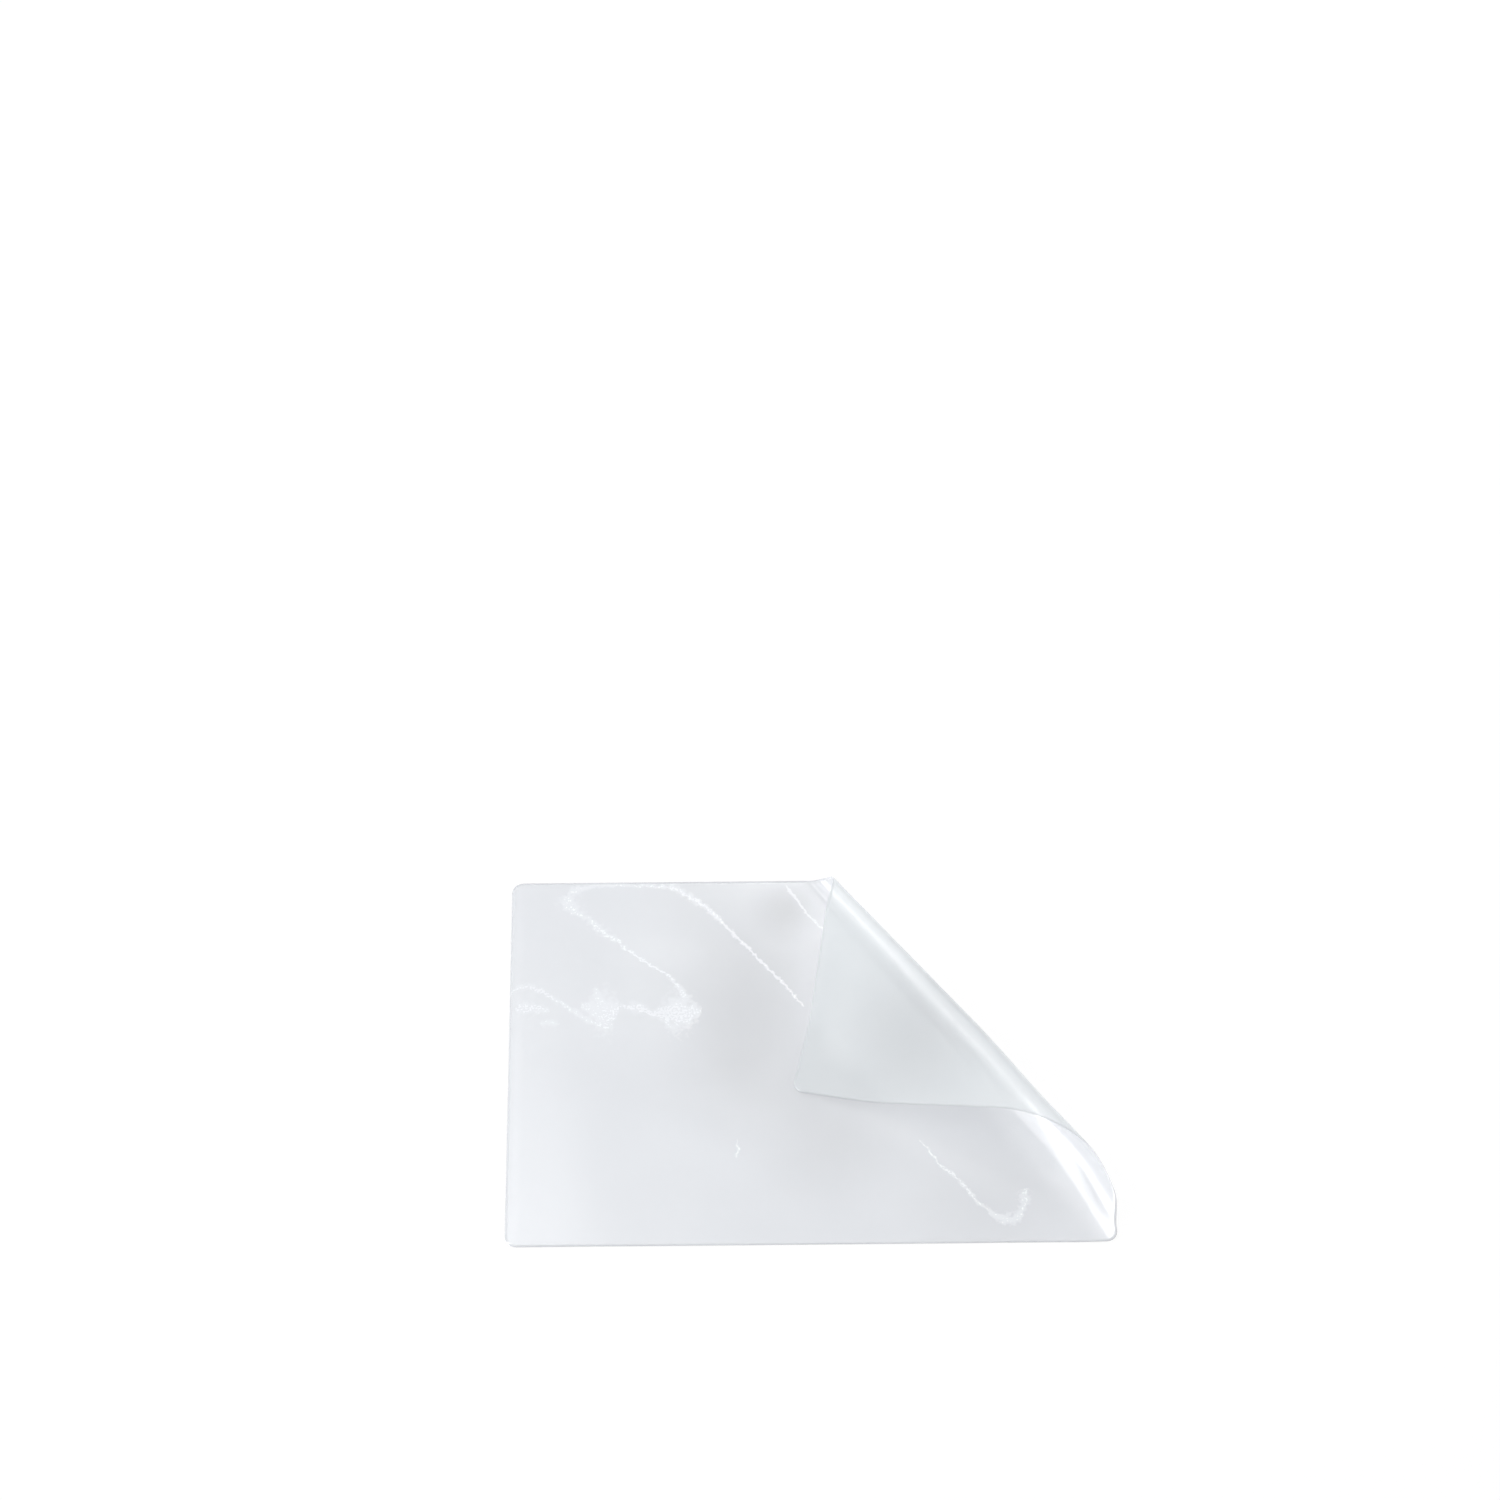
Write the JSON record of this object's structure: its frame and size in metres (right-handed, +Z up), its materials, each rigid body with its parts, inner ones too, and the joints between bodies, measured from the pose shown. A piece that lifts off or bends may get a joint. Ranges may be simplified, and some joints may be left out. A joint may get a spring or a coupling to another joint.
{
  "type": "laminating pouch",
  "caption": "Clear A4 laminating pouch: two thin films sealed along one short edge, one corner curled over onto the sheet.",
  "frame": {"origin": "centre of the bounding box's bottom, where the pouch rests", "axes": "+X along the long side away from the sealed edge, +Y along the short side towards the curled corner's edge, +Z up off the sheet"},
  "size_m": [0.303, 0.216, 0.0311],
  "materials": {
    "front_film": "glossy clear film",
    "back_film": "clear film with a faint haze"
  },
  "bodies": {
    "root": {"front_film": "front_film", "back_film": "back_film"}
  },
  "joints": []
}
